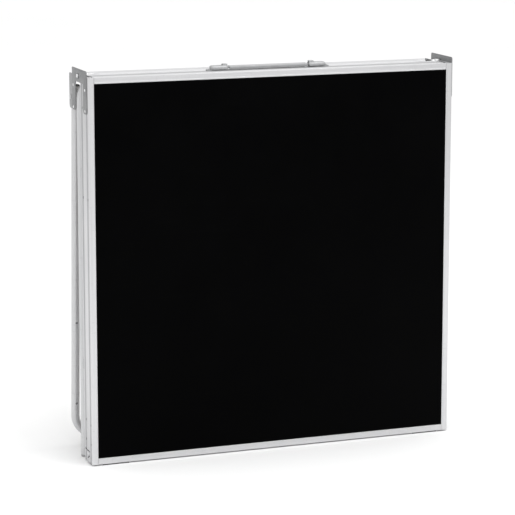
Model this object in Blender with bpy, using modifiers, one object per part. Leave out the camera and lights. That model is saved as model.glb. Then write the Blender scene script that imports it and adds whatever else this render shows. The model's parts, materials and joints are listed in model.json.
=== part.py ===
"""Folding stage riser platform: a square deck in an extruded aluminium frame,
with two U-shaped tube leg frames folded flat behind it.

The riser stands on one edge, as it is carried and stored. The deck face looks
along -Y, +Z is up, and the origin is on the floor at the centre of the whole
folded object. Depths (d) are measured back from the front of the frame.
"""

import math

import bmesh
import bpy
from mathutils import Matrix, Vector

# ---------------------------------------------------------------- dimensions
GAP = 0.0003                # clearance between touching pieces
REACH = 0.001               # how far a fused piece reaches into its neighbour
DECK_SIZE = 1.000           # square deck, outside the frame
DECK_HALF = DECK_SIZE / 2
FRAME_DEPTH = 0.068         # depth of the extruded rail
DECK_BASE_Z = 0.003         # the standing pads lift the frame this much
DECK_TOP_Z = DECK_BASE_Z + DECK_SIZE
DECK_MID_Z = DECK_BASE_Z + DECK_HALF

WEB = 0.0035                # rail wall
FLANGE = 0.0168             # width of the front flange
LIP_START = 0.0126          # the raised inner lip of the front flange
LIP_PROUD = 0.0006
SHELF_DEPTH = 0.0146        # the shelf behind the panel
SHELF_WIDTH = 0.0135
SHELF_THICK = 0.0024
REAR_FLANGE = 0.0165
REAR_FLANGE_THICK = 0.0025
GROOVE = 0.0015             # depth of the two grooves along the outside
FRONT_GROOVE = (0.006, 0.018)
REAR_GROOVE = (0.048, 0.062)
PANEL_FACE = 0.0010         # the deck face, inside the flanges
PANEL_FRONT = 0.0023        # the panel's rebated edge, under the flanges
PANEL_BACK = 0.0143
SLOT_WIDTH = 0.0038         # hooked slot low in each side rail's outer wall
SLOT_PATH = ((0.063, 0.033), (0.025, 0.033), (0.025, 0.022), (0.041, 0.014))

TUBE_R = 0.011              # all leg and rim tubes
TUBE_WALL = 0.0018
BEND_R = 0.054              # centre-line radius of every bend
BEND_STEPS = 8

RIM_X = 0.489
RIM_D = 0.102
RIM_TOP_Z = DECK_TOP_Z - 0.0105
RIM_END_Z = 0.006

LEG_LEAN = math.radians(3.0)
OUTER_X = 0.4862            # outer leg frame: hinged at the hinge plates
OUTER_D = 0.160
OUTER_HINGE_Z = 0.938
OUTER_STUB = 0.027
OUTER_FOOT_Z = 0.030
OUTER_LENGTH = (OUTER_HINGE_Z - OUTER_FOOT_Z) / math.cos(LEG_LEAN)

INNER_X = 0.459             # inner leg frame: hinged at the bottom brackets
INNER_D = 0.156
INNER_HINGE_Z = 0.080
INNER_STUB = 0.018
INNER_FOOT_Z = 0.989
INNER_BAR_HALF = 0.490
BRACE_Z = 0.560
BRACE_R = 0.008
PLUG_THICK = 0.0035         # caps on the open ends of the leg tubes
PLUG_END_R = 0.0095

TOTAL_DEPTH = OUTER_D + OUTER_LENGTH * math.sin(LEG_LEAN) + TUBE_R
FRONT_Y = -TOTAL_DEPTH / 2

PLATE_X = DECK_HALF + 0.0003
PLATE_THICK = 0.0025
PLATE_TOP_Z = DECK_TOP_Z + 0.015
PLATE_BAND_Z = DECK_TOP_Z - 0.019
PLATE_FOOT_Z = DECK_TOP_Z - 0.094
PLATE_ARMS = ((0.004, 0.034), (0.104, 0.134))
HINGE_PLATE_D = (0.1145, 0.170)      # plate riveted inside the bracket's rear arm
HINGE_PLATE_TOP_Z = DECK_TOP_Z - 0.0035
PIN_D = 0.078               # link pin through the top bracket
PIN_Z = DECK_TOP_Z - 0.003
PIN_R = 0.0045
HOUSING_R = 0.0075
HOUSING_X = 0.484
BOLT_R = 0.004
BOLT_HOLE_R = 0.0043

BRACKET_X = 0.4715          # bottom bracket: a leg from the rail to the pivot
BRACKET_THICK = 0.0036
BRACKET_BASE = (0.020, 0.062)
BRACKET_REACH = 0.168
BRACKET_Z = (0.050, 0.118)

HANDLE_D = 0.054
CAP_X = (0.111, 0.158)
CAP_WIDTH = 0.024
CAP_HEIGHT = 0.012
CAP_BEVEL = 0.0055
EAR_END = 0.167
EAR_THICK = 0.0022
BUMP_X = (0.1125, 0.1255)
BUMP_BASE = 0.004
BUMP_TOP = 0.0158
GRIP_HALF = 0.108
GRIP_WIDTH = 0.020
GRIP_THICK = 0.008
GRIP_LIFT = 0.0022
TONGUE_END = 0.127

COLLECTION = "stage_riser_platform"
SIDES = (("left", -1), ("right", 1))


def depth(d):
    """World Y of a depth behind the front of the frame."""
    return FRONT_Y + d


# ------------------------------------------------------------------ scaffold
def clear_scene():
    for thing in list(bpy.data.objects):
        bpy.data.objects.remove(thing, do_unlink=True)
    for group in list(bpy.data.collections):
        bpy.data.collections.remove(group)


def new_collection(name):
    group = bpy.data.collections.new(name)
    bpy.context.scene.collection.children.link(group)
    return group


def material(name, colour, roughness, metallic):
    mat = bpy.data.materials.new(name)
    mat.use_nodes = True
    shader = mat.node_tree.nodes["Principled BSDF"]
    shader.inputs["Base Color"].default_value = (*colour, 1.0)
    shader.inputs["Roughness"].default_value = roughness
    shader.inputs["Metallic"].default_value = metallic
    return mat


LOOKS = {
    "aluminium": ((0.78, 0.79, 0.80), 0.38, 1.0),
    "steel": ((0.55, 0.56, 0.57), 0.30, 1.0),
    "laminate": ((0.006, 0.006, 0.007), 0.45, 0.0),
    "rubber": ((0.02, 0.02, 0.02), 0.80, 0.0),
    "grip": ((0.30, 0.31, 0.32), 0.55, 0.0),
}


def finish(obj, look, parts):
    """Put a finished object in the model's collection, with its own material."""
    for group in list(obj.users_collection):
        group.objects.unlink(obj)
    parts.objects.link(obj)
    obj.data.materials.clear()
    obj.data.materials.append(material(obj.name + "_finish", *LOOKS[look]))
    return obj


def mesh_object(name, mesh):
    obj = bpy.data.objects.new(name, mesh)
    bpy.context.scene.collection.objects.link(obj)
    return obj


def apply_modifiers(obj):
    """Replace the object's mesh by its evaluated mesh."""
    bpy.context.view_layer.update()
    graph = bpy.context.evaluated_depsgraph_get()
    mesh = bpy.data.meshes.new_from_object(obj.evaluated_get(graph))
    obj.modifiers.clear()
    obj.data = mesh
    return obj


def to_mesh(curve_obj):
    """Turn a curve object into a mesh object with welded caps."""
    bpy.context.view_layer.update()
    graph = bpy.context.evaluated_depsgraph_get()
    mesh = bpy.data.meshes.new_from_object(curve_obj.evaluated_get(graph))
    work = bmesh.new()
    work.from_mesh(mesh)
    bmesh.ops.remove_doubles(work, verts=work.verts, dist=0.00001)
    bmesh.ops.recalc_face_normals(work, faces=work.faces)
    work.to_mesh(mesh)
    work.free()
    name = curve_obj.name
    matrix = curve_obj.matrix_world.copy()
    bpy.data.objects.remove(curve_obj, do_unlink=True)
    obj = mesh_object(name, mesh)
    obj.matrix_world = matrix
    return obj


def bake(obj):
    """Move the object's placement into its mesh."""
    bpy.context.view_layer.update()
    obj.data.transform(obj.matrix_world)
    obj.matrix_world = Matrix.Identity(4)
    return obj


def round_shading(obj):
    obj.data.shade_smooth()
    obj.data.set_sharp_from_angle(angle=math.radians(35))
    return obj


# -------------------------------------------------------------------- shapes
def box(name, low, high, bevel=0.0, segments=2):
    bpy.ops.mesh.primitive_cube_add(size=1.0)
    obj = bpy.context.active_object
    obj.name = name
    low, high = Vector(low), Vector(high)
    obj.data.transform(Matrix.Diagonal((*(high - low), 1.0)))
    obj.location = (low + high) / 2
    if bevel:
        edge = obj.modifiers.new("edge", "BEVEL")
        edge.width = bevel
        edge.segments = segments
        apply_modifiers(obj)
    return obj


def rod(name, start, end, radius, sides=20, end_radius=None):
    """A cylinder or cone from one point to another along X, Y or Z."""
    start, end = Vector(start), Vector(end)
    axis = end - start
    tip = radius if end_radius is None else end_radius
    bpy.ops.mesh.primitive_cone_add(
        vertices=sides, radius1=radius, radius2=tip, depth=axis.length)
    obj = bpy.context.active_object
    obj.name = name
    obj.rotation_euler = axis.to_track_quat("Z", "Y").to_euler()
    obj.location = (start + end) / 2
    return round_shading(obj)


def outline(name, points, thickness, holes=()):
    """A flat outline in local XY, with a thickness along local Z."""
    curve = bpy.data.curves.new(name, "CURVE")
    curve.dimensions = "2D"
    curve.fill_mode = "BOTH"
    curve.extrude = thickness / 2
    for ring in (points, *holes):
        spline = curve.splines.new("POLY")
        spline.points.add(len(ring) - 1)
        for point, (x, y) in zip(spline.points, ring):
            point.co = (x, y, 0.0, 1.0)
        spline.use_cyclic_u = True
    obj = bpy.data.objects.new(name, curve)
    bpy.context.scene.collection.objects.link(obj)
    return to_mesh(obj)


def circle(x, y, radius, steps=20):
    turns = [2 * math.pi * i / steps for i in range(steps)]
    return [(x + radius * math.cos(t), y + radius * math.sin(t)) for t in turns]


def in_side_plane(obj, x):
    """Turn an outline so that its X is depth, its Y is height, at a world X."""
    obj.rotation_euler = (math.pi / 2, 0.0, math.pi / 2)
    obj.location = (x, FRONT_Y, 0.0)
    return bake(obj)


def straight_tube(name, start, end, radius=TUBE_R, sides=16):
    """A hollow tube, open at both ends."""
    start, end = Vector(start), Vector(end)
    axis = end - start
    ring = circle(0, 0, radius, sides)
    bore = circle(0, 0, radius - TUBE_WALL, sides)
    obj = outline(name, ring, axis.length, [bore])
    obj.rotation_euler = axis.to_track_quat("Z", "Y").to_euler()
    obj.location = (start + end) / 2
    return round_shading(bake(obj))


def bent_tube(name, half_width, end_z, bar_z):
    """A hollow U-shaped tube in the XZ plane: two legs joined by one bar."""
    turn = 1 if bar_z > end_z else -1
    path = [(-half_width, end_z)]
    for step in range(BEND_STEPS + 1):
        angle = (math.pi / 2) * step / BEND_STEPS
        x = -half_width + BEND_R * (1 - math.cos(angle))
        path.append((x, bar_z - turn * BEND_R * (1 - math.sin(angle))))
    path += [(-x, z) for x, z in reversed(path)]
    curve = bpy.data.curves.new(name, "CURVE")
    curve.dimensions = "3D"
    curve.bevel_depth = TUBE_R
    curve.bevel_resolution = 6
    curve.use_fill_caps = False
    spline = curve.splines.new("POLY")
    spline.points.add(len(path) - 1)
    for point, (x, z) in zip(spline.points, path):
        point.co = (x, 0.0, z, 1.0)
    obj = bpy.data.objects.new(name, curve)
    bpy.context.scene.collection.objects.link(obj)
    obj = to_mesh(obj)
    wall = obj.modifiers.new("wall", "SOLIDIFY")
    wall.thickness = TUBE_WALL
    wall.offset = -1.0
    return round_shading(apply_modifiers(obj))


def drill(obj, start, end, radius, cutters):
    """Cut a round hole through an object."""
    cutter = rod(obj.name + "_drill", start, end, radius)
    for group in list(cutter.users_collection):
        group.objects.unlink(cutter)
    cutters.objects.link(cutter)
    return cut(obj, cutter)


def cut(obj, cutter):
    cutter.hide_render = True
    cutter.display_type = "WIRE"
    hole = obj.modifiers.new("hole", "BOOLEAN")
    hole.operation = "DIFFERENCE"
    hole.object = cutter
    apply_modifiers(obj)
    bpy.data.objects.remove(cutter, do_unlink=True)
    return obj


# ---------------------------------------------------------------------- deck
def rail_profile():
    """Rail section: first number is distance in from the outside, second depth."""
    chamfer = 0.001
    front, back = LIP_PROUD, FRAME_DEPTH
    points = [
        (0, front + chamfer), (chamfer, front), (LIP_START, front),
        (LIP_START + LIP_PROUD, 0), (FLANGE - LIP_PROUD, 0), (FLANGE, PANEL_FACE),
        (FLANGE, PANEL_FRONT - GAP), (WEB, PANEL_FRONT - GAP),
        (WEB, SHELF_DEPTH), (SHELF_WIDTH, SHELF_DEPTH),
        (SHELF_WIDTH, SHELF_DEPTH + SHELF_THICK), (WEB, SHELF_DEPTH + SHELF_THICK),
        (WEB, back - REAR_FLANGE_THICK), (REAR_FLANGE, back - REAR_FLANGE_THICK),
        (REAR_FLANGE, back), (chamfer, back), (0, back - chamfer),
    ]
    for near, far in (REAR_GROOVE, FRONT_GROOVE):
        points += [(0, far), (GROOVE, far - GROOVE), (GROOVE, near + GROOVE), (0, near)]
    return points


def rail(name, turn_about_y, location, half):
    """One square-cut length of rail; local X points in from the outside."""
    obj = outline(name, rail_profile(), 2 * half)
    obj.rotation_euler = (0.0, turn_about_y, 0.0)
    obj.location = location
    return bake(obj)


def cut_hooked_slot(obj, sign):
    """Cut a bar along each stretch of SLOT_PATH through the rail's wall."""
    x = sign * (DECK_HALF - WEB / 2)
    for (d0, z0), (d1, z1) in zip(SLOT_PATH, SLOT_PATH[1:]):
        run = Vector((0.0, d1 - d0, z1 - z0))
        half = Vector((1.5 * WEB, (run.length + SLOT_WIDTH) / 2, SLOT_WIDTH / 2))
        bar = box("slot", -half, half)
        bar.rotation_euler = (math.atan2(run.z, run.y), 0.0, 0.0)
        bar.location = (x, depth((d0 + d1) / 2), (z0 + z1) / 2)
        cut(obj, bake(bar))
    return obj


def build_rails(parts):
    """Side rails run the full height; the end rails butt against them."""
    y = FRONT_Y
    quarter = math.pi / 2
    between = DECK_HALF - FLANGE - GAP
    for side, sign in SIDES:
        turn = 0.0 if sign < 0 else math.pi
        place = (sign * DECK_HALF, y, DECK_MID_Z)
        obj = rail(side + "_side_rail", turn, place, DECK_HALF)
        finish(cut_hooked_slot(obj, sign), "aluminium", parts)
    finish(rail("top_end_rail", quarter, (0.0, y, DECK_TOP_Z), between), "aluminium", parts)
    finish(rail("bottom_end_rail", -quarter, (0.0, y, DECK_BASE_Z), between), "aluminium", parts)


def build_panel(parts):
    """A board whose edge is rebated under the flanges."""
    half = DECK_HALF - WEB - GAP
    face = DECK_HALF - FLANGE - GAP
    board = square_board("board", half, PANEL_FRONT, PANEL_BACK)
    finish(fuse(square_board("deck_panel", face, PANEL_FACE, PANEL_FRONT + REACH), (board,)),
           "laminate", parts)


def square_board(name, half, front, back):
    low = (-half, depth(front), DECK_MID_Z - half)
    high = (half, depth(back), DECK_MID_Z + half)
    return bake(box(name, low, high))


def build_cross_members(parts):
    half_x = DECK_HALF - WEB - GAP
    front = SHELF_DEPTH + SHELF_THICK + GAP
    thick, width, wall = 0.024, 0.040, 0.002
    for name, fraction in (("low", 0.25), ("mid", 0.5), ("high", 0.75)):
        z = DECK_BASE_Z + fraction * DECK_SIZE
        ring = [(-width / 2, 0), (width / 2, 0), (width / 2, thick), (-width / 2, thick)]
        inner = [(-width / 2 + wall, wall), (width / 2 - wall, wall),
                 (width / 2 - wall, thick - wall), (-width / 2 + wall, thick - wall)]
        obj = outline("cross_member_" + name, ring, 2 * half_x, [inner])
        obj.rotation_euler = (0.0, math.pi / 2, 0.0)
        obj.location = (0.0, depth(front), z)
        finish(obj, "aluminium", parts)


def build_corner_keys(parts):
    inside = DECK_HALF - WEB - GAP
    leg, thick, wide = 0.040, 0.003, 0.038
    shape = [(0, 0), (leg, 0), (leg, thick), (thick, thick), (thick, leg), (0, leg)]
    corners = ("bottom_left", "bottom_right", "top_right", "top_left")
    for quarter, corner in enumerate(corners):
        obj = outline(corner + "_corner_key", shape, wide)
        obj.data.transform(Matrix.Translation((-inside, -inside, 0.0)))
        obj.data.transform(Matrix.Rotation(quarter * math.pi / 2, 4, "Z"))
        obj.rotation_euler = (math.pi / 2, 0.0, 0.0)
        obj.location = (0.0, depth(0.022 + wide / 2), DECK_MID_Z)
        finish(obj, "aluminium", parts)


def build_standing_pads(parts):
    for side, sign in SIDES:
        inner, outer = sorted((sign * 0.400, sign * 0.470))
        low = (inner, depth(0.004), 0.0)
        high = (outer, depth(0.046), DECK_BASE_Z - GAP)
        finish(box(side + "_standing_pad", low, high), "rubber", parts)


# ------------------------------------------------------------------ rim tube
def build_rim_tube(parts):
    obj = bent_tube("rim_tube", RIM_X, RIM_END_Z, RIM_TOP_Z)
    obj.location.y = depth(RIM_D)
    finish(obj, "aluminium", parts)
    for side, sign in SIDES:
        x, y = sign * RIM_X, depth(RIM_D)
        plug = rod(side + "_rim_plug", (x, y, 0.0), (x, y, RIM_END_Z - GAP), TUBE_R)
        finish(plug, "rubber", parts)


def build_rim_clamps(parts):
    front = FRAME_DEPTH + GAP
    back = RIM_D - TUBE_R - GAP
    half_long, half_wide = 0.012, 0.0065
    for level, height in (("low", 0.25), ("high", 0.75)):
        for side, sign in SIDES:
            x = sign * RIM_X
            low = (x - half_wide, depth(front), height - half_long)
            high = (x + half_wide, depth(back), height + half_long)
            name = side + "_rim_clamp_" + level
            finish(box(name, low, high), "aluminium", parts)


# ------------------------------------------------------------------ brackets
def top_plate_outline():
    """Two arms with round ends, joined by a band along the top."""
    (front, front_in), (rear_in, rear) = PLATE_ARMS
    nip = 0.003
    points = [(front + nip, PLATE_TOP_Z), (rear - nip, PLATE_TOP_Z), (rear, PLATE_TOP_Z - nip)]
    points += arm_end(rear, rear_in)
    points += [(rear_in, PLATE_BAND_Z), (front_in, PLATE_BAND_Z)]
    points += arm_end(front_in, front)
    return points + [(front, PLATE_TOP_Z - nip)]


def arm_end(start, end, corner=0.010, steps=5):
    """The rounded lower end of an arm, from its rear side to its front side."""
    points = []
    for centre, first in ((start - corner, 0.0), (end + corner, math.pi / 2)):
        for step in range(steps + 1):
            t = first + (math.pi / 2) * step / steps
            points.append((centre + corner * math.cos(t),
                           PLATE_FOOT_Z + corner - corner * math.sin(t)))
    return points


def build_top_brackets(parts):
    hole = circle(PIN_D, PIN_Z, PIN_R + GAP)
    for side, sign in SIDES:
        obj = outline(side + "_top_bracket", top_plate_outline(), PLATE_THICK, [hole])
        in_side_plane(obj, sign * (PLATE_X + PLATE_THICK / 2))
        finish(obj, "aluminium", parts)


def build_hinge_plates(parts):
    """Plates that carry the outer leg frame, inside the brackets' rear arms."""
    near, far = HINGE_PLATE_D
    top, nip = HINGE_PLATE_TOP_Z, 0.003
    shape = [(near, top), (far - nip, top), (far, top - nip), *arm_end(far, near)]
    hole = circle(OUTER_D, OUTER_HINGE_Z, BOLT_HOLE_R)
    for side, sign in SIDES:
        obj = outline(side + "_hinge_plate", shape, PLATE_THICK, [hole])
        in_side_plane(obj, sign * (PLATE_X - GAP - PLATE_THICK / 2))
        finish(obj, "aluminium", parts)


def build_bottom_brackets(parts, cutters):
    near, far = BRACKET_BASE
    rail_face = DECK_HALF - WEB - GAP
    plate = BRACKET_X + BRACKET_THICK
    shape = [(rail_face, near), (BRACKET_X, near), (BRACKET_X, BRACKET_REACH),
             (plate, BRACKET_REACH), (plate, far), (rail_face, far)]
    low, high = BRACKET_Z
    for side, sign in SIDES:
        points = [(sign * x, d) for x, d in shape]
        obj = outline(side + "_bottom_bracket", points, high - low)
        obj.location = (0.0, FRONT_Y, (low + high) / 2)
        bake(obj)
        y = depth(INNER_D)
        start = (sign * (BRACKET_X - 0.005), y, INNER_HINGE_Z)
        end = (sign * (plate + 0.005), y, INNER_HINGE_Z)
        finish(drill(obj, start, end, BOLT_HOLE_R, cutters), "aluminium", parts)


def build_bracket_rivets(parts):
    face = PLATE_X + PLATE_THICK
    spots = (("front_upper", 0.014, 0.970), ("front_lower", 0.014, 0.917),
             ("rear_upper", 0.120, 0.973), ("rear_lower", 0.120, 0.917))
    for side, sign in SIDES:
        for place, d, z in spots:
            start = (sign * (face + GAP), depth(d), z)
            end = (sign * (face + 0.0018), depth(d), z)
            rivet = rod(side + "_rivet_" + place, start, end, 0.0036, 14, 0.0022)
            finish(rivet, "steel", parts)


def build_link_pins(parts, cutters):
    """Sprung pins in the top brackets, which link the deck to its neighbour."""
    y, z = depth(PIN_D), PIN_Z
    for side, sign in SIDES:
        inner = (sign * HOUSING_X, y, z)
        outer = (sign * (PLATE_X - GAP), y, z)
        housing = rod(side + "_pin_housing", inner, outer, HOUSING_R)
        through = 0.005
        start = (sign * (HOUSING_X - through), y, z)
        end = (sign * (PLATE_X + through), y, z)
        finish(drill(housing, start, end, PIN_R + GAP, cutters), "steel", parts)

        knob_end = HOUSING_X - GAP
        knob = rod("knob", (sign * (knob_end - 0.007), y, z), (sign * knob_end, y, z), 0.006)
        tip = PLATE_X + PLATE_THICK + 0.0035
        stem = rod("stem", (sign * (knob_end - 0.003), y, z), (sign * tip, y, z), PIN_R)
        weld = knob.modifiers.new("stem", "BOOLEAN")
        weld.operation = "UNION"
        weld.object = stem
        apply_modifiers(knob)
        bpy.data.objects.remove(stem, do_unlink=True)
        knob.name = side + "_link_pin"
        finish(round_shading(knob), "steel", parts)


# ---------------------------------------------------------------- leg frames
def build_outer_leg_frame(parts, cutters):
    """U-shaped frame on the hinge plates; its origin is on the hinge axis."""
    hinge = bpy.data.objects.new("outer_leg_hinge", None)
    bpy.context.scene.collection.objects.link(hinge)
    hinge.location = (0.0, depth(OUTER_D), OUTER_HINGE_Z)
    hinge.rotation_euler = (LEG_LEAN, 0.0, 0.0)

    frame = bent_tube("outer_leg_frame", OUTER_X, OUTER_STUB, -OUTER_LENGTH)
    reach = OUTER_X + 2 * TUBE_R
    drill(frame, (-reach, 0, 0), (reach, 0, 0), BOLT_HOLE_R, cutters)

    pieces = [(frame, "aluminium")]
    for side, sign in SIDES:
        x = sign * OUTER_X
        low = (x, 0, OUTER_STUB + GAP)
        high = (x, 0, OUTER_STUB + PLUG_THICK)
        plug = rod("outer_" + side + "_plug", low, high, TUBE_R, 20, PLUG_END_R)
        pieces.append((plug, "rubber"))
    hang_on(hinge, pieces, parts)


def hang_on(hinge, pieces, parts):
    for obj, look in pieces:
        finish(obj, look, parts)
        obj.parent = hinge


def build_inner_leg_frame(parts, cutters):
    """Frame on the bottom brackets, nested between the outer frame's legs."""
    hinge = bpy.data.objects.new("inner_leg_hinge", None)
    bpy.context.scene.collection.objects.link(hinge)
    hinge.location = (0.0, depth(INNER_D), INNER_HINGE_Z)

    bar_z = INNER_FOOT_Z - INNER_HINGE_Z
    leg_top = bar_z - TUBE_R - GAP
    pieces = []
    for side, sign in SIDES:
        x = sign * INNER_X
        leg = straight_tube("inner_" + side + "_leg", (x, 0, -INNER_STUB), (x, 0, leg_top))
        reach = 2 * TUBE_R
        drill(leg, (x - reach, 0, 0), (x + reach, 0, 0), BOLT_HOLE_R, cutters)
        pieces.append((leg, "aluminium"))

    bar = straight_tube("inner_foot_bar", (-INNER_BAR_HALF, 0, bar_z), (INNER_BAR_HALF, 0, bar_z))
    half_brace = INNER_X - TUBE_R - GAP
    brace_z = BRACE_Z - INNER_HINGE_Z
    brace = straight_tube("inner_cross_brace", (-half_brace, 0, brace_z),
                          (half_brace, 0, brace_z), BRACE_R)
    pieces += [(bar, "aluminium"), (brace, "aluminium")]
    for side, sign in SIDES:
        start = (sign * (INNER_BAR_HALF + GAP), 0, bar_z)
        end = (sign * (INNER_BAR_HALF + PLUG_THICK), 0, bar_z)
        plug = rod("inner_" + side + "_plug", start, end, TUBE_R, 20, PLUG_END_R)
        pieces.append((plug, "rubber"))
    hang_on(hinge, pieces, parts)


def build_outer_pivots(parts):
    y, z = depth(OUTER_D), OUTER_HINGE_Z
    head_x = PLATE_X
    tail_x = OUTER_X - TUBE_R - GAP
    for side, sign in SIDES:
        bolt = rod("shank", (sign * (tail_x - REACH), y, z), (sign * (head_x + REACH), y, z), BOLT_R)
        head = rod("head", (sign * head_x, y, z), (sign * (head_x + 0.0016), y, z), 0.0075, 20, 0.006)
        tail = rod("tail", (sign * (tail_x - 0.0025), y, z), (sign * tail_x, y, z), 0.0065)
        fuse(bolt, (head, tail))
        bolt.name = "outer_" + side + "_pivot_bolt"
        finish(bolt, "steel", parts)


def build_inner_pivots(parts):
    y, z = depth(INNER_D), INNER_HINGE_Z
    head_x = BRACKET_X + BRACKET_THICK + GAP
    nut_x = INNER_X - TUBE_R - GAP
    for side, sign in SIDES:
        bolt = rod("shank", (sign * (nut_x - REACH), y, z), (sign * (head_x + REACH), y, z), BOLT_R)
        head = rod("head", (sign * head_x, y, z), (sign * (head_x + 0.004), y, z), 0.008)
        nut = rod("nut", (sign * (nut_x - 0.006), y, z), (sign * nut_x, y, z), 0.0078, 6)
        fuse(bolt, (head, nut))
        bolt.name = "inner_" + side + "_pivot_bolt"
        finish(bolt, "steel", parts)


def fuse(body, others):
    """Union pieces that share a face with the body, reaching slightly into it."""
    for other in others:
        union = body.modifiers.new("union", "BOOLEAN")
        union.operation = "UNION"
        union.object = other
        apply_modifiers(body)
        bpy.data.objects.remove(other, do_unlink=True)
    return body


# -------------------------------------------------------------------- handle
def build_handle(parts):
    seat = DECK_TOP_Z + GAP
    for side, sign in SIDES:
        cap = handle_piece("cap", sign, CAP_X, CAP_WIDTH / 2, seat, seat + CAP_HEIGHT, CAP_BEVEL)
        ear = handle_piece("ear", sign, (CAP_X[1] - 0.010, EAR_END), 0.008, seat,
                           seat + EAR_THICK, 0.0)
        bump = handle_piece("bump", sign, BUMP_X, 0.006, seat + BUMP_BASE,
                            seat + BUMP_TOP, 0.0012)
        fuse(cap, (ear, bump))
        slot = handle_piece("slot", sign, (CAP_X[0] - 0.001, TONGUE_END + 0.003), 0.0044,
                            seat + 0.001, seat + 0.014, 0.0)
        cut(cap, slot)
        cap.name = side + "_handle_cap"
        finish(cap, "steel", parts)
        x = sign * (EAR_END - 0.0055)
        top = seat + EAR_THICK + GAP
        y = depth(HANDLE_D)
        screw = rod(side + "_handle_screw", (x, y, top), (x, y, top + 0.0016), 0.0034, 14, 0.0022)
        finish(screw, "steel", parts)

    low = (-GRIP_HALF, depth(HANDLE_D - GRIP_WIDTH / 2), seat + GRIP_LIFT)
    high = (GRIP_HALF, depth(HANDLE_D + GRIP_WIDTH / 2), seat + GRIP_LIFT + GRIP_THICK)
    grip = box("handle_grip", low, high, 0.003, 3)
    tongue_low = (-TONGUE_END, depth(HANDLE_D - 0.004), seat + 0.004)
    tongue_high = (TONGUE_END, depth(HANDLE_D + 0.004), seat + 0.008)
    fuse(grip, (box("tongue", tongue_low, tongue_high),))
    finish(grip, "grip", parts)


def handle_piece(name, sign, span, half_wide, bottom, top, bevel):
    inner, outer = sorted((sign * span[0], sign * span[1]))
    low = (inner, depth(HANDLE_D - half_wide), bottom)
    high = (outer, depth(HANDLE_D + half_wide), top)
    return box(name, low, high, bevel, 3)


# --------------------------------------------------------------------- build
def main():
    clear_scene()
    parts = new_collection(COLLECTION)
    cutters = new_collection("cutters")
    build_rails(parts)
    build_panel(parts)
    build_cross_members(parts)
    build_corner_keys(parts)
    build_standing_pads(parts)
    build_rim_tube(parts)
    build_rim_clamps(parts)
    build_top_brackets(parts)
    build_hinge_plates(parts)
    build_bottom_brackets(parts, cutters)
    build_bracket_rivets(parts)
    build_link_pins(parts, cutters)
    build_outer_leg_frame(parts, cutters)
    build_inner_leg_frame(parts, cutters)
    build_outer_pivots(parts)
    build_inner_pivots(parts)
    build_handle(parts)
    bpy.context.view_layer.update()


main()
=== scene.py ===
"""Looks of the folding stage riser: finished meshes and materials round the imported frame.

Every place is read from the frame's own boxes and joints. Metres, +Z up, deck face to -Y.
"""

import json
import math
import bmesh
import bpy
from mathutils import Matrix, Vector


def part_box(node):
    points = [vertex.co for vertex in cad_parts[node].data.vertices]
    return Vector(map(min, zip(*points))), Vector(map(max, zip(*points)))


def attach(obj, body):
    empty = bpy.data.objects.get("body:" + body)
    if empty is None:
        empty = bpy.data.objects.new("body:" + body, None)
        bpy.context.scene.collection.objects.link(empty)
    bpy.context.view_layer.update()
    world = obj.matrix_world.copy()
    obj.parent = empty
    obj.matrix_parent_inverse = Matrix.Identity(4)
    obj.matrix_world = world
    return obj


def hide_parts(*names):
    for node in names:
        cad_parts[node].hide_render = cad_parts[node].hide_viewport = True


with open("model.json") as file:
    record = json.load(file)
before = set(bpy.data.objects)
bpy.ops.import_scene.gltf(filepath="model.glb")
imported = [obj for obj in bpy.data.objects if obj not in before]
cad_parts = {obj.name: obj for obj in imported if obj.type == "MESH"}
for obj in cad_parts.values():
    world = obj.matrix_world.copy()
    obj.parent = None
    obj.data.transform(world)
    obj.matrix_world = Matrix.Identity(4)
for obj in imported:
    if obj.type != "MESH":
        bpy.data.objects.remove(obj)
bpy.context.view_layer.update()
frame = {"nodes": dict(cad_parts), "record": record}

SIDES = (("left", -1), ("right", 1))
TUBE_R = 0.011
TUBE_SIDES = 40
BEND_R = 0.054
BEND_STEPS = 28
STRAIGHT_SHARE = 0.93       # scales a straight run's points, so the last stays clear of the bend
RIVET_R = 0.0037            # bracket rivets
RAIL_RIVET_R = 0.0034
LEG_RIVET_R = 0.0030
LOW_RIVET_HEIGHT = 0.0014   # rivets in the rails' grooves and on the legs
GROOVE_SINK = 0.0015        # how far a groove's floor lies inside the rail's outer face
FRONT_GROOVE_Y = 0.012      # middles of the two grooves, from the rail's front
REAR_GROOVE_Y = 0.055
MID_RIVET_SHARE = 0.69      # height of the rail's middle rivets, as a share of the rail
TOP_RIVET_DROP = 0.082
LEG_RIVET_DROPS = (0.60, 0.82)      # from the outer frame's hinge, along its legs
LEG_RIVET_SINK = 0.0004
COLLAR_BORE = 0.0050
COLLAR_R = 0.0074
COLLAR_HEIGHT = 0.0010
SCREW_R = 0.0040
SCREW_SEAT = 0.0171         # the back of the rail's shelf, from the rail's front
SCREW_INSET = 0.009         # screws, from the deck's outer edge
SCREW_OFFSETS = (-0.37, -0.10, 0.10, 0.37)
DECK_HALF = 0.5
HANDLE_SCREW_R = 0.0034

BODY_OF = {node: body for body, nodes in frame["record"]["behaviour"]["bodies"].items()
           for node in nodes}
JOINTS = {joint["name"]: joint for joint in frame["record"]["behaviour"]["joints"]}


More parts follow.
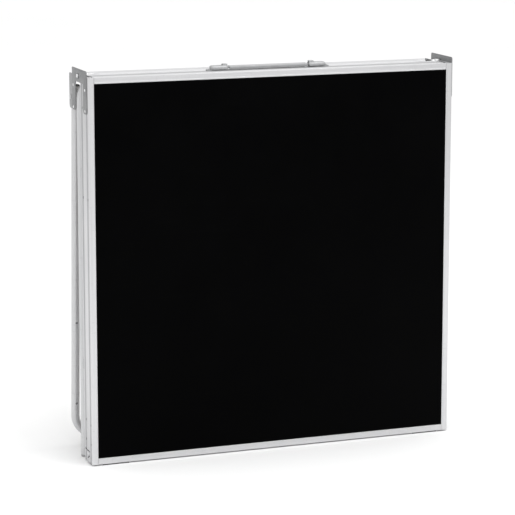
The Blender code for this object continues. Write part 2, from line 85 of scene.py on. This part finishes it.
# ----------------------------------------------------------------- materials
class Nodes:
    """A short way to build a material's node tree."""

    def __init__(self, name):
        self.mat = bpy.data.materials.new(name)
        self.mat.use_nodes = True
        self.tree = self.mat.node_tree
        self.shader = self.tree.nodes["Principled BSDF"]
        self.coords = self.add("ShaderNodeTexCoord").outputs["Object"]

    def add(self, kind, **settings):
        node = self.tree.nodes.new(kind)
        for key, value in settings.items():
            setattr(node, key, value)
        return node

    def link(self, output, node, socket):
        self.tree.links.new(output, node.inputs[socket])

    def scaled(self, scale):
        mapping = self.add("ShaderNodeMapping")
        mapping.inputs["Scale"].default_value = scale
        self.link(self.coords, mapping, "Vector")
        return mapping.outputs["Vector"]

    def noise(self, scale, stretch=(1, 1, 1), detail=3.0, rough=0.5):
        node = self.add("ShaderNodeTexNoise")
        node.inputs["Scale"].default_value = scale
        node.inputs["Detail"].default_value = detail
        node.inputs["Roughness"].default_value = rough
        self.link(self.scaled(stretch), node, "Vector")
        return node.outputs["Fac"]

    def cells(self, scale, stretch=(1, 1, 1), feature="F1"):
        node = self.add("ShaderNodeTexVoronoi", feature=feature)
        node.inputs["Scale"].default_value = scale
        self.link(self.scaled(stretch), node, "Vector")
        return node.outputs["Distance"]

    def ramp(self, value, low, high, start, end):
        """Map a value from low..high to start..end, held beyond both."""
        node = self.add("ShaderNodeMapRange")
        node.clamp = True
        for socket, number in (("From Min", low), ("From Max", high),
                               ("To Min", start), ("To Max", end)):
            node.inputs[socket].default_value = number
        self.link(value, node, "Value")
        return node.outputs["Result"]

    def maths(self, operation, first, second):
        node = self.add("ShaderNodeMath", operation=operation)
        for socket, value in ((0, first), (1, second)):
            if isinstance(value, (int, float)):
                node.inputs[socket].default_value = value
            else:
                self.link(value, node, socket)
        return node.outputs[0]

    def mix(self, fac, first, second):
        """Mix two colours; each is a tuple or a colour output."""
        node = self.add("ShaderNodeMix", data_type="RGBA")
        self.link(fac, node, 0)
        for socket, value in ((6, first), (7, second)):
            if isinstance(value, tuple):
                node.inputs[socket].default_value = (*value, 1.0)
            else:
                self.link(value, node, socket)
        return node.outputs[2]

    def bump(self, height, distance, strength=1.0):
        node = self.add("ShaderNodeBump")
        node.inputs["Distance"].default_value = distance
        node.inputs["Strength"].default_value = strength
        self.link(height, node, "Height")
        self.link(node.outputs["Normal"], self.shader, "Normal")

    def set(self, **values):
        for key, value in values.items():
            socket = key.replace("_", " ")
            if isinstance(value, (int, float, tuple)):
                self.shader.inputs[socket].default_value = value
            else:
                self.link(value, self.shader, socket)
        return self.mat


def along(axis, fine, coarse):
    """Stretch for a texture whose streaks run along one axis."""
    return tuple(coarse if i == axis else fine for i in range(3))


def extruded_aluminium(name, axis, grooves=()):
    """Satin anodised extrusion: die lines along its length, faint clouding and handling marks.

    Grooves are depth ranges of the outer wall that get a darker colour: painted shade for the shadow
    inside them.
    """
    n = Nodes(name)
    lines = n.noise(1.0, along(axis, 900.0, 3.0), 4.0, 0.6)
    cloud = n.noise(9.0, detail=4.0)
    marks = n.ramp(n.noise(1.0, along(axis, 60.0, 400.0), 2.0), 0.66, 0.72, 0.0, 1.0)
    colour = n.mix(n.ramp(lines, 0.35, 0.65, 0.0, 1.0), (0.64, 0.64, 0.65), (0.71, 0.71, 0.715))
    colour = n.mix(n.ramp(cloud, 0.3, 0.7, 0.0, 0.35), colour, (0.65, 0.655, 0.67))
    colour = n.mix(n.maths("MULTIPLY", marks, 0.35), colour, (0.55, 0.55, 0.56))
    if grooves:
        # painted shade: the grooves' darker colour stands in for the shadow that falls in them
        colour = n.mix(groove_shade_mask(n, grooves), colour, (0.36, 0.36, 0.37))
    rough = n.maths("ADD", n.ramp(cloud, 0.3, 0.7, 0.36, 0.46), n.maths("MULTIPLY", marks, 0.12))
    n.bump(lines, 0.00006, 0.5)
    return n.set(Base_Color=colour, Metallic=0.92, Roughness=rough)


def groove_shade_mask(n, grooves):
    """Painted shade mask: 1 inside the given depth ranges of a side rail's outer face, 0 elsewhere."""
    place = n.add("ShaderNodeSeparateXYZ")
    n.link(n.coords, place, 0)
    facing = n.add("ShaderNodeSeparateXYZ")
    n.link(n.add("ShaderNodeNewGeometry").outputs["Normal"], facing, 0)
    sideways = n.ramp(n.maths("ABSOLUTE", facing.outputs["X"], 0.0), 0.5, 0.7, 0.0, 1.0)
    outer = n.ramp(n.maths("ABSOLUTE", place.outputs["X"], 0.0), 0.4975, 0.4980, 0.0, 0.75)
    total = None
    for near, far in grooves:
        start = n.ramp(place.outputs["Y"], near - 0.001, near + 0.001, 0.0, 1.0)
        end = n.ramp(place.outputs["Y"], far - 0.001, far + 0.001, 1.0, 0.0)
        band = n.maths("MULTIPLY", start, end)
        total = band if total is None else n.maths("MAXIMUM", total, band)
    return n.maths("MULTIPLY", total, n.maths("MULTIPLY", sideways, outer))


def tube_aluminium(name, axis):
    """Drawn tube: a little duller than the rails, with fine draw lines and light scuffs."""
    n = Nodes(name)
    lines = n.noise(1.0, along(axis, 700.0, 5.0), 3.0, 0.6)
    scuff = n.ramp(n.noise(1.0, along(axis, 30.0, 160.0), 4.0), 0.62, 0.74, 0.0, 1.0)
    cloud = n.noise(14.0, detail=3.0)
    colour = n.mix(n.ramp(lines, 0.35, 0.65, 0.0, 1.0), (0.57, 0.575, 0.58), (0.64, 0.64, 0.65))
    colour = n.mix(n.maths("MULTIPLY", scuff, 0.4), colour, (0.50, 0.50, 0.51))
    rough = n.maths("ADD", n.ramp(cloud, 0.3, 0.7, 0.38, 0.48), n.maths("MULTIPLY", scuff, 0.12))
    n.bump(lines, 0.00004, 0.4)
    return n.set(Base_Color=colour, Metallic=0.5, Roughness=rough)


def plate_aluminium(name, tone=1.0):
    """Stamped plate in mill finish, with rolled grain; tone scales its colours."""
    n = Nodes(name)
    grain = n.noise(1.0, (1.0, 260.0, 1400.0), 3.0, 0.65)
    cloud = n.noise(22.0, detail=5.0)
    pits = n.ramp(n.cells(900.0), 0.0, 0.25, 1.0, 0.0)
    dark, light, dull = (tuple(tone * part for part in colour) for colour in (
        (0.46, 0.465, 0.475), (0.60, 0.605, 0.61), (0.40, 0.405, 0.415)))
    colour = n.mix(n.ramp(grain, 0.35, 0.65, 0.0, 1.0), dark, light)
    colour = n.mix(n.ramp(cloud, 0.35, 0.7, 0.0, 0.5), colour, dull)
    rough = n.ramp(cloud, 0.3, 0.7, 0.42, 0.56)
    height = n.maths("SUBTRACT", grain, n.maths("MULTIPLY", pits, 0.5))
    n.bump(height, 0.00008, 0.6)
    return n.set(Base_Color=colour, Metallic=0.95, Roughness=rough)


def plated_steel(name, light, dark, rough_low, rough_high, metallic=1.0):
    """Plated steel with a mottled sheen and fine turning marks."""
    n = Nodes(name)
    mottle = n.noise(160.0, detail=5.0)
    fine = n.noise(2400.0, detail=2.0)
    colour = n.mix(n.ramp(mottle, 0.35, 0.65, 0.0, 1.0), dark, light)
    rough = n.ramp(mottle, 0.3, 0.7, rough_low, rough_high)
    n.bump(fine, 0.00005, 0.4)
    return n.set(Base_Color=colour, Metallic=metallic, Roughness=rough)


def deck_film(name):
    """Black phenolic film: pebbled grip grain, faint wear, and bare plywood on the underside."""
    n = Nodes(name)
    pebble = n.ramp(n.cells(520.0, feature="SMOOTH_F1"), 0.0, 0.7, 1.0, 0.0)
    grain = n.noise(1500.0, detail=2.0)
    wear = n.noise(5.0, detail=6.0, rough=0.6)
    scratch = n.ramp(n.noise(1.0, (3.0, 3.0, 220.0), 3.0), 0.70, 0.73, 0.0, 1.0)
    black = n.mix(n.ramp(wear, 0.4, 0.75, 0.0, 1.0), (0.0004, 0.0004, 0.0005), (0.0009, 0.0009, 0.0010))
    black = n.mix(n.maths("MULTIPLY", scratch, 0.35), black, (0.003, 0.003, 0.0031))
    ply = n.noise(1.0, (5.0, 60.0, 90.0), 4.0, 0.6)
    timber = n.mix(n.ramp(ply, 0.3, 0.7, 0.0, 1.0), (0.22, 0.195, 0.165), (0.31, 0.28, 0.24))
    facing = n.add("ShaderNodeSeparateXYZ")
    n.link(n.add("ShaderNodeNewGeometry").outputs["Normal"], facing, 0)
    back = n.ramp(facing.outputs["Y"], 0.4, 0.6, 0.0, 1.0)
    rough = n.ramp(wear, 0.35, 0.75, 0.46, 0.60)
    n.bump(n.maths("ADD", pebble, n.maths("MULTIPLY", grain, 0.4)), 0.00010, 0.5)
    return n.set(Base_Color=n.mix(back, black, timber), Roughness=rough, Specular_IOR_Level=0.02)


def moulded_rubber(name, base=(0.016, 0.016, 0.017), dusty=(0.060, 0.058, 0.055)):
    """Rubber with moulding grain and a little dust."""
    n = Nodes(name)
    grain = n.noise(1800.0, detail=3.0)
    dust = n.noise(60.0, detail=5.0)
    colour = n.mix(n.ramp(dust, 0.5, 0.8, 0.0, 0.6), base, dusty)
    n.bump(grain, 0.00008, 0.7)
    return n.set(Base_Color=colour, Roughness=n.ramp(dust, 0.3, 0.8, 0.62, 0.85))


def grip_plastic(name):
    """Grey moulded grip with leather-like grain."""
    n = Nodes(name)
    cells = n.cells(700.0, (1.0, 1.6, 1.6))
    cloud = n.noise(40.0, detail=4.0)
    colour = n.mix(n.ramp(cloud, 0.3, 0.7, 0.0, 1.0), (0.36, 0.365, 0.37), (0.42, 0.425, 0.43))
    n.bump(cells, 0.00006, 0.4)
    return n.set(Base_Color=colour, Roughness=n.ramp(cloud, 0.3, 0.7, 0.42, 0.55))


RAIL_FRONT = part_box("left_side_rail")[0].y
# depth ranges of the side rails' grooves, where shade is painted into the colour
GROOVES = tuple((RAIL_FRONT + near, RAIL_FRONT + far) for near, far in ((0.006, 0.018), (0.048, 0.062)))
RAIL_SIDE = extruded_aluminium("rail_upright", 2, GROOVES)
RAIL_END = extruded_aluminium("rail_across", 0)
TUBE_UP = tube_aluminium("tube_upright", 2)
TUBE_ACROSS = tube_aluminium("tube_across", 0)
PLATE = plate_aluminium("mill_plate")
BRACKET = plate_aluminium("bracket_plate", 0.58)
HINGE = plate_aluminium("hinge_plate", 0.78)
CASTING = plate_aluminium("dark_casting", 0.25)
STEEL = plated_steel("plated_steel", (0.62, 0.625, 0.63), (0.44, 0.445, 0.45), 0.24, 0.40)
NICKEL = plated_steel("dull_nickel", (0.26, 0.265, 0.27), (0.18, 0.185, 0.19), 0.34, 0.48)
ZINC = plated_steel("bright_zinc", (0.86, 0.86, 0.87), (0.74, 0.74, 0.75), 0.34, 0.44, 0.45)
CAP_METAL = plated_steel("cap_metal", (0.52, 0.525, 0.53), (0.43, 0.435, 0.44), 0.40, 0.50, 0.6)
DECK = deck_film("deck_film")
RUBBER = moulded_rubber("moulded_rubber")
GREY_PLUG = moulded_rubber("grey_plug", (0.34, 0.34, 0.345), (0.46, 0.46, 0.465))
GRIP = grip_plastic("grip_plastic")


# -------------------------------------------------------------------- pieces
def place(obj, node, mat, body=None, hide=True):
    """Finish a new piece: material, body, and the CAD node that it stands for."""
    obj.data.materials.clear()
    obj.data.materials.append(mat)
    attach(obj, body or BODY_OF[node])
    if hide:
        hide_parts(node)
    return obj


def new_object(name, mesh):
    obj = bpy.data.objects.new(name, mesh)
    bpy.context.scene.collection.objects.link(obj)
    return obj


def from_bmesh(name, work):
    mesh = bpy.data.meshes.new(name)
    bmesh.ops.recalc_face_normals(work, faces=work.faces)
    work.to_mesh(mesh)
    work.free()
    return new_object(name, mesh)


def smooth(obj, angle=35):
    obj.data.shade_smooth()
    obj.data.set_sharp_from_angle(angle=math.radians(angle))
    return obj


def apply_modifiers(obj):
    bpy.context.view_layer.update()
    graph = bpy.context.evaluated_depsgraph_get()
    mesh = bpy.data.meshes.new_from_object(obj.evaluated_get(graph))
    obj.modifiers.clear()
    obj.data = mesh
    return obj


def refined(node, mat, width=0.0004, segments=3, angle=30):
    """A copy of a CAD node with its edges broken, standing for it."""
    source = frame["nodes"][node]
    obj = new_object(node + "_finished", source.data.copy())
    obj.matrix_world = source.matrix_world.copy()
    work = bmesh.new()
    work.from_mesh(obj.data)
    bmesh.ops.remove_doubles(work, verts=work.verts, dist=0.000002)
    bmesh.ops.dissolve_limit(work, angle_limit=math.radians(1.0), verts=work.verts,
                             edges=work.edges)
    work.to_mesh(obj.data)
    work.free()
    edge = obj.modifiers.new("edge", "BEVEL")
    edge.width = width
    edge.segments = segments
    edge.limit_method = "ANGLE"
    edge.angle_limit = math.radians(angle)
    edge.use_clamp_overlap = True
    edge.harden_normals = False
    apply_modifiers(obj)
    smooth(obj, 30)
    return place(obj, node, mat)


def lathe(name, profile, axis, origin, steps=32):
    """A turned piece: profile is (distance along the axis, radius), from end to end."""
    axis = Vector(axis).normalized()
    turn = axis.to_track_quat("Z", "Y").to_matrix().to_4x4()
    work = bmesh.new()
    rings = []
    for height, radius in profile:
        if radius < 1e-6:
            rings.append([work.verts.new((0, 0, height))])
            continue
        ring = []
        for i in range(steps):
            t = 2 * math.pi * i / steps
            ring.append(work.verts.new((radius * math.cos(t), radius * math.sin(t), height)))
        rings.append(ring)
    for low, high in zip(rings, rings[1:]):
        for i in range(steps):
            j = (i + 1) % steps
            corners = [low[i % len(low)], low[j % len(low)], high[j % len(high)], high[i % len(high)]]
            face = list(dict.fromkeys(corners))
            if len(face) > 2:
                work.faces.new(face)
    obj = from_bmesh(name, work)
    obj.data.transform(Matrix.Translation(origin) @ turn)
    return smooth(obj, 40)


def tube_path(path, radius, sides=TUBE_SIDES):
    """A solid tube surface along a list of points, with flat ends; returns a bmesh."""
    work = bmesh.new()
    rings = []
    for i, point in enumerate(path):
        before = path[max(i - 1, 0)]
        after = path[min(i + 1, len(path) - 1)]
        forward = (after - before).normalized()
        across = Vector((0, 1, 0))
        if abs(forward.dot(across)) > 0.9:
            across = Vector((1, 0, 0))
        side = forward.cross(across).normalized()
        up = side.cross(forward)
        ring = []
        for k in range(sides):
            t = 2 * math.pi * k / sides
            ring.append(work.verts.new(point + radius * (math.cos(t) * side + math.sin(t) * up)))
        rings.append(ring)
    for low, high in zip(rings, rings[1:]):
        for k in range(sides):
            j = (k + 1) % sides
            work.faces.new((low[k], low[j], high[j], high[k]))
    work.faces.new(rings[0])
    work.faces.new(list(reversed(rings[-1])))
    return work


def u_path(half, end, bar, y=0.0):
    """Points of a U in the XZ plane, bent round BEND_R at both corners."""
    turn = 1 if bar > end else -1
    straight = [Vector((-half, y, end + (bar - end) * f * STRAIGHT_SHARE)) for f in (0.0, 0.33, 0.66)]
    bend = []
    for step in range(BEND_STEPS + 1):
        angle = (math.pi / 2) * step / BEND_STEPS
        x = -half + BEND_R * (1 - math.cos(angle))
        bend.append(Vector((x, y, bar - turn * BEND_R * (1 - math.sin(angle)))))
    left = straight + bend
    right = [Vector((-p.x, p.y, p.z)) for p in reversed(left)]
    return left + right


def weld_bead(name, centre, axis, ring_radius, body, node, bead=0.0022, ripples=34):
    """A rippled ring of weld metal round a tube end."""
    axis = Vector(axis).normalized()
    turn = axis.to_track_quat("Z", "Y").to_matrix().to_4x4()
    work = bmesh.new()
    around, across = 136, 10
    rings = []
    for i in range(around):
        t = 2 * math.pi * i / around
        swell = bead * (1.0 + 0.16 * math.cos(ripples * t))
        ring = []
        for k in range(across):
            a = 2 * math.pi * k / across
            r = ring_radius + swell * math.cos(a) * 0.55
            ring.append(work.verts.new((r * math.cos(t), r * math.sin(t), swell * math.sin(a))))
        rings.append(ring)
    for i in range(around):
        low, high = rings[i], rings[(i + 1) % around]
        for k in range(across):
            j = (k + 1) % across
            work.faces.new((low[k], low[j], high[j], high[k]))
    obj = from_bmesh(name, work)
    obj.data.transform(Matrix.Translation(centre) @ turn)
    smooth(obj, 60)
    return place(obj, node, STEEL_WELD, body, hide=False)


STEEL_WELD = plated_steel("weld_metal", (0.70, 0.70, 0.71), (0.50, 0.50, 0.51), 0.30, 0.50)


def finish_rails():
    for node in ("left_side_rail", "right_side_rail"):
        refined(node, RAIL_SIDE, 0.0003, 2, 25)
    for node in ("top_end_rail", "bottom_end_rail"):
        refined(node, RAIL_END, 0.0003, 2, 25)
    for level in ("low", "mid", "high"):
        refined("cross_member_" + level, RAIL_END, 0.0008, 3)
    for corner in ("bottom_left", "bottom_right", "top_left", "top_right"):
        refined(corner + "_corner_key", CASTING, 0.0006, 3)
    refined("deck_panel", DECK, 0.0006, 2)


def finish_tubes():
    low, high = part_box("rim_tube")
    y = (low.y + high.y) / 2
    path = u_path(high.x - TUBE_R, low.z, high.z - TUBE_R, y)
    obj = smooth(from_bmesh("rim_tube_finished", tube_path(path, TUBE_R)))
    place(obj, "rim_tube", TUBE_UP)

    hinge = JOINTS["outer_leg_fold"]
    lean = math.radians(90.0 - hinge["range_deg"][1])
    low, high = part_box("outer_leg_frame")
    spot = Vector(hinge["pos_m"])
    length = (spot.z - low.z - TUBE_R) / math.cos(lean)
    stub = (high.z - spot.z) / math.cos(lean) - TUBE_R * math.tan(lean)
    path = u_path(high.x - TUBE_R, stub, -length)
    work = tube_path(path, TUBE_R)
    obj = smooth(from_bmesh("outer_leg_frame_finished", work))
    obj.data.transform(Matrix.Translation(spot) @ Matrix.Rotation(lean, 4, "X"))
    place(obj, "outer_leg_frame", TUBE_UP)

    for node in ("inner_left_leg", "inner_right_leg"):
        low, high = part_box(node)
        x, y = (low.x + high.x) / 2, (low.y + high.y) / 2
        path = [Vector((x, y, low.z + (high.z - low.z) * f)) for f in (0.0, 0.5, 1.0)]
        place(smooth(from_bmesh(node + "_finished", tube_path(path, TUBE_R))), node, TUBE_UP)
    for node in ("inner_foot_bar", "inner_cross_brace"):
        low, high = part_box(node)
        y, z, radius = (low.y + high.y) / 2, (low.z + high.z) / 2, (high.z - low.z) / 2
        path = [Vector((low.x + (high.x - low.x) * f, y, z)) for f in (0.0, 0.5, 1.0)]
        place(smooth(from_bmesh(node + "_finished", tube_path(path, radius))), node, TUBE_ACROSS)


def finish_welds():
    """Weld beads where the inner leg frame's tubes meet."""
    bar_low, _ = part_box("inner_foot_bar")
    brace_low, brace_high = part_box("inner_cross_brace")
    brace_r = (brace_high.z - brace_low.z) / 2
    brace_z = (brace_high.z + brace_low.z) / 2
    for side, sign in SIDES:
        low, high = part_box("inner_" + side + "_leg")
        x, y = (low.x + high.x) / 2, (low.y + high.y) / 2
        weld_bead(side + "_foot_weld", (x, y, bar_low.z + 0.0006), (0, 0, 1), TUBE_R * 0.98,
                  "inner_legs", "inner_" + side + "_leg")
        end_x = brace_low.x if sign < 0 else brace_high.x
        weld_bead(side + "_brace_weld", (end_x, y, brace_z), (1, 0, 0), brace_r,
                  "inner_legs", "inner_cross_brace", 0.0018, 26)


def dome_profile(height, radius, dimple=0.0009):
    """Blind rivet head: flat skirt, dome, and the small crater of its mandrel."""
    skirt = height * 0.25
    points = [(0.0, 0.0), (0.0, radius), (skirt, radius)]
    for step in range(1, 9):
        angle = (math.pi / 2) * step / 8
        r = radius * math.cos(angle) * 0.94
        if r < dimple:
            break
        points.append((skirt + (height - skirt) * math.sin(angle), r))
    points += [(height, dimple), (height - 0.0006, dimple * 0.8), (height - 0.0006, 0.0)]
    return points


def finish_rivets():
    for side, sign in SIDES:
        for spot in ("front_upper", "front_lower", "rear_upper", "rear_lower"):
            node = side + "_rivet_" + spot
            low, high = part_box(node)
            centre = (low + high) / 2
            start = Vector((low.x if sign > 0 else high.x, centre.y, centre.z))
            obj = lathe(node + "_finished", dome_profile(high.x - low.x, RIVET_R), (sign, 0, 0), start)
            place(obj, node, ZINC)


def rail_rivets():
    """Rivets in the two grooves of each side rail: bottom bracket, mid-height and top."""
    low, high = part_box("left_side_rail")
    bracket_low, bracket_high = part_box("left_bottom_bracket")
    front = low.y + FRONT_GROOVE_Y
    rear = low.y + REAR_GROOVE_Y
    spots = ((front, bracket_low.z + 0.004), (front, bracket_high.z - 0.012),
             (rear, bracket_low.z + 0.010), (rear, bracket_high.z - 0.006),
             (front, high.z * MID_RIVET_SHARE), (rear, high.z * MID_RIVET_SHARE),
             (rear, high.z - TOP_RIVET_DROP))
    for side, sign in SIDES:
        face = abs(low.x) - GROOVE_SINK
        for number, (y, z) in enumerate(spots):
            start = Vector((sign * face, y, z))
            obj = lathe("%s_rail_rivet_%d" % (side, number),
                        dome_profile(LOW_RIVET_HEIGHT, RAIL_RIVET_R), (sign, 0, 0), start)
            place(obj, side + "_rivet_front_upper", NICKEL, "deck", hide=False)


def leg_rivets():
    """Rivets on the deck side of the outer frame's legs, which hold its inner sleeves."""
    hinge = JOINTS["outer_leg_fold"]
    lean = math.radians(90.0 - hinge["range_deg"][1])
    spot = Vector(hinge["pos_m"])
    _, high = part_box("outer_leg_frame")
    turn = Matrix.Translation(spot) @ Matrix.Rotation(lean, 4, "X")
    for side, sign in SIDES:
        for number, drop in enumerate(LEG_RIVET_DROPS):
            start = turn @ Vector((sign * (high.x - TUBE_R), -TUBE_R + LEG_RIVET_SINK, -drop))
            aim = turn.to_3x3() @ Vector((0.0, -1.0, 0.0))
            obj = lathe("%s_leg_rivet_%d" % (side, number),
                        dome_profile(LOW_RIVET_HEIGHT, LEG_RIVET_R), aim, start)
            place(obj, "outer_%s_pivot_bolt" % side, NICKEL, "outer_legs", hide=False)


def pin_collars():
    """Retaining collars round the link pins, on the outside of the top brackets."""
    for side, sign in SIDES:
        pin_low, pin_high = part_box(side + "_link_pin")
        plate_low, plate_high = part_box(side + "_top_bracket")
        face = plate_high.x if sign > 0 else plate_low.x
        middle = (pin_low + pin_high) / 2
        profile = [(0.0, COLLAR_BORE), (0.0, COLLAR_R), (0.0006, COLLAR_R), (0.0009, 0.0068),
                   (COLLAR_HEIGHT, 0.0056), (COLLAR_HEIGHT, COLLAR_BORE), (0.0, COLLAR_BORE)]
        obj = lathe(side + "_pin_collar", profile, (sign, 0, 0), Vector((face, middle.y, middle.z)))
        place(obj, side + "_pin_housing", NICKEL, "deck", hide=False)


def cross_recess_screw(name, start, axis, radius, node, body):
    """A pan-head screw with a cross recess."""
    obj = lathe(name, [(0.0, 0.0), (0.0, radius), (0.0007, radius), (0.0013, radius * 0.82),
                       (0.0016, radius * 0.5), (0.0017, 0.0)], axis, start, 28)
    axis = Vector(axis).normalized()
    turn = axis.to_track_quat("Z", "Y").to_matrix().to_4x4()
    cutter = bmesh.new()
    for quarter in (0, 1):
        made = bmesh.ops.create_cube(cutter, size=1.0)
        size = (radius * 1.1, radius * 0.26, 0.0016)
        bmesh.ops.transform(cutter, verts=made["verts"], matrix=(
            Matrix.Rotation(quarter * math.pi / 2, 4, "Z") @ Matrix.Diagonal((*size, 1.0))))
    tool = from_bmesh(name + "_recess", cutter)
    tool.data.transform(Matrix.Translation(Vector(start) + axis * 0.0017) @ turn)
    cut = obj.modifiers.new("recess", "BOOLEAN")
    cut.object = tool
    cut.use_self = True
    apply_modifiers(obj)
    bpy.data.objects.remove(tool, do_unlink=True)
    smooth(obj, 30)
    return place(obj, node, STEEL, body, hide=False)


def panel_screws():
    """Screws through the rail's shelf into the back of the deck panel."""
    low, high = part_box("deck_panel")
    rail_low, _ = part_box("left_side_rail")
    seat = rail_low.y + SCREW_SEAT
    middle = (low + high) / 2
    inset = DECK_HALF - SCREW_INSET
    number = 0
    for offset in SCREW_OFFSETS:
        for x, z in ((offset, inset), (offset, -inset), (inset, offset), (-inset, offset)):
            cross_recess_screw("panel_screw_%02d" % number, (x, seat, middle.z + z), (0, 1, 0),
                               SCREW_R, "left_handle_screw", "deck")
            number += 1


def finish_fasteners():
    for side, sign in SIDES:
        refined("outer_%s_pivot_bolt" % side, STEEL, 0.0006, 3)
        refined("inner_%s_pivot_bolt" % side, STEEL, 0.0006, 3)
        refined(side + "_pin_housing", STEEL, 0.0006, 3)
        refined(side + "_link_pin", ZINC, 0.0007, 3)
        for level in ("low", "high"):
            refined("%s_rim_clamp_%s" % (side, level), PLATE, 0.0006, 3)
        refined(side + "_top_bracket", BRACKET, 0.0005, 3)
        refined(side + "_hinge_plate", HINGE, 0.0005, 3)
        refined(side + "_bottom_bracket", PLATE, 0.0006, 3)
        node = side + "_handle_screw"
        low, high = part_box(node)
        centre = (low + high) / 2
        obj = cross_recess_screw(node + "_finished", (centre.x, centre.y, low.z), (0, 0, 1),
                                 HANDLE_SCREW_R, node, "deck")
        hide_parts(node)


def finish_rubber():
    for side, sign in SIDES:
        for node in ("outer_%s_plug", "inner_%s_plug"):
            refined(node % side, RUBBER, 0.0009, 4)
        refined(side + "_rim_plug", GREY_PLUG, 0.0009, 4)
        refined(side + "_standing_pad", RUBBER, 0.0006, 3)


def finish_handle():
    for side, _ in SIDES:
        refined(side + "_handle_cap", CAP_METAL, 0.0008, 3, 40)
    refined("handle_grip", GRIP, 0.0010, 3, 40)


# --------------------------------------------------------------------- stage
CAMERA_PLACE = (-2.03, RAIL_FRONT - 5.3656, 1.635)
CAMERA_YAW = 20.27          # degrees, turned from +Y towards +X
CAMERA_PITCH = 9.75         # degrees, looking down
CAMERA_LENS = 156.9
CAMERA_SHIFT = -0.10


def make_camera():
    data = bpy.data.cameras.new("camera")
    data.lens = CAMERA_LENS
    data.sensor_width = 36.0
    data.shift_y = CAMERA_SHIFT
    data.clip_end = 400.0
    cam = bpy.data.objects.new("camera", data)
    cam.location = CAMERA_PLACE
    cam.rotation_euler = (math.radians(90 - CAMERA_PITCH), 0.0, math.radians(-CAMERA_YAW))
    bpy.context.scene.collection.objects.link(cam)
    bpy.context.scene.camera = cam


def make_floor():
    work = bmesh.new()
    bmesh.ops.create_grid(work, x_segments=1, y_segments=1, size=150.0)
    floor = from_bmesh("floor", work)
    n = Nodes("pale_floor")
    tone = n.noise(0.6, detail=3.0)
    colour = n.mix(n.ramp(tone, 0.3, 0.7, 0.0, 1.0), (0.90, 0.90, 0.90), (0.92, 0.92, 0.92))
    floor.data.materials.append(n.set(Base_Color=colour, Roughness=0.9, Specular_IOR_Level=0.1))


ROOM_LEVEL = 0.60           # brightness at the horizon, straight ahead or behind
ROOM_TILT = (-0.10, -0.15, 0.56)    # brightness added per unit of +X, +Y and +Z
ROOM_DARKEST = 0.12
SUN_STRENGTH = 0.55
SUN_ANGLE = 45.0
SUN_AIM = (-0.45, 0.45, -1.0)
SOFTBOX_PLACE = (0.2, -1.6, 3.8)
SOFTBOX_SIZE = 4.0
SOFTBOX_POWER = 62.0


def make_light():
    """A white room brightest overhead, a broad soft sun, and a softbox over the front."""
    world = bpy.data.worlds.new("studio")
    bpy.context.scene.world = world
    world.use_nodes = True
    tree = world.node_tree
    sky = tree.nodes["Background"]
    sky.inputs["Color"].default_value = (1.0, 1.0, 1.0, 1.0)

    ray = tree.nodes.new("ShaderNodeTexCoord")
    tilt = tree.nodes.new("ShaderNodeVectorMath")
    tilt.operation = "DOT_PRODUCT"
    tilt.inputs[1].default_value = ROOM_TILT
    tree.links.new(ray.outputs["Generated"], tilt.inputs[0])
    level = tree.nodes.new("ShaderNodeMath")
    level.operation = "ADD"
    level.inputs[1].default_value = ROOM_LEVEL
    tree.links.new(tilt.outputs["Value"], level.inputs[0])
    held = tree.nodes.new("ShaderNodeMath")
    held.operation = "MAXIMUM"
    held.inputs[1].default_value = ROOM_DARKEST
    tree.links.new(level.outputs[0], held.inputs[0])
    seen = tree.nodes.new("ShaderNodeMix")
    tree.links.new(tree.nodes.new("ShaderNodeLightPath").outputs["Is Camera Ray"], seen.inputs[0])
    tree.links.new(held.outputs[0], seen.inputs[2])
    seen.inputs[3].default_value = 1.0
    tree.links.new(seen.outputs[0], sky.inputs["Strength"])

    data = bpy.data.lights.new("soft_sun", "SUN")
    data.energy = SUN_STRENGTH
    data.angle = math.radians(SUN_ANGLE)
    lamp = bpy.data.objects.new("soft_sun", data)
    lamp.rotation_euler = Vector(SUN_AIM).to_track_quat("-Z", "Y").to_euler()
    bpy.context.scene.collection.objects.link(lamp)

    box = bpy.data.lights.new("softbox", "AREA")
    box.size = SOFTBOX_SIZE
    box.energy = SOFTBOX_POWER
    softbox = bpy.data.objects.new("softbox", box)
    softbox.location = SOFTBOX_PLACE
    softbox.visible_glossy = False
    bpy.context.scene.collection.objects.link(softbox)


finish_rails()
finish_tubes()
finish_welds()
finish_rivets()
rail_rivets()
leg_rivets()
pin_collars()
panel_screws()
finish_fasteners()
finish_rubber()
finish_handle()
make_camera()
make_floor()
make_light()
bpy.context.scene.view_settings.view_transform = "Standard"
